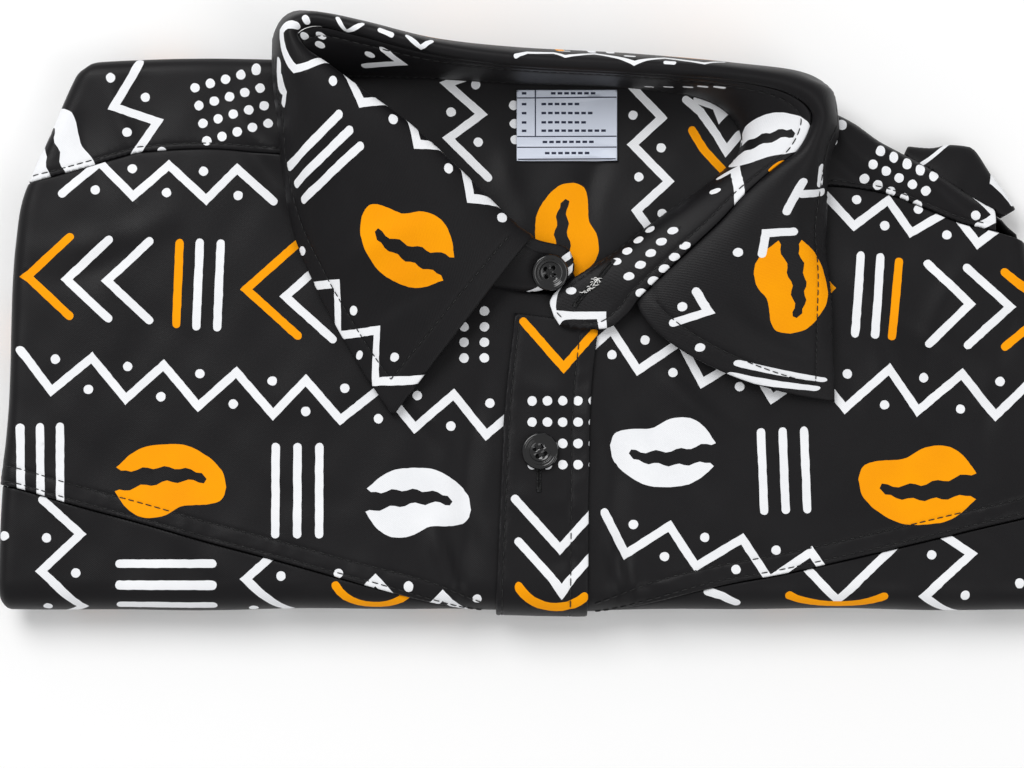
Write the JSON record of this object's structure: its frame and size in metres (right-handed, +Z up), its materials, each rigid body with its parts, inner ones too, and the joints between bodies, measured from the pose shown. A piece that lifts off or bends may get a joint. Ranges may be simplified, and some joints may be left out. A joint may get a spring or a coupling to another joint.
{
  "type": "folded african print shirt",
  "caption": "Men's black cotton shirt with a white and orange mudcloth and cowrie print, folded flat with its collar, placket and buttons on top.",
  "frame": {"origin": "on the resting underside, below the front's middle, a little under the collar button", "axes": "+X towards the wearer's left along the packet's width, +Y towards the shoulders, +Z up from the surface it lies on"},
  "size_m": [0.372, 0.208, 0.0512],
  "materials": {
    "printed_cotton": "printed cotton with a soft sheen",
    "collar_cotton": "fused printed cotton, topstitched",
    "button_resin": "polished black resin",
    "woven_label": "woven satin label"
  },
  "bodies": {
    "root": {"folded_layers": "printed_cotton", "front_right": "printed_cotton", "front_left": "printed_cotton", "front_right_lower": "printed_cotton", "front_left_lower": "printed_cotton", "placket": "printed_cotton", "yoke_right": "printed_cotton", "yoke_left": "printed_cotton", "back_inside": "printed_cotton", "sleeve_left": "printed_cotton", "collar_stand": "collar_cotton", "collar_leaf": "collar_cotton", "button_collar": "button_resin", "button_front": "button_resin", "care_label": "woven_label"}
  },
  "joints": []
}
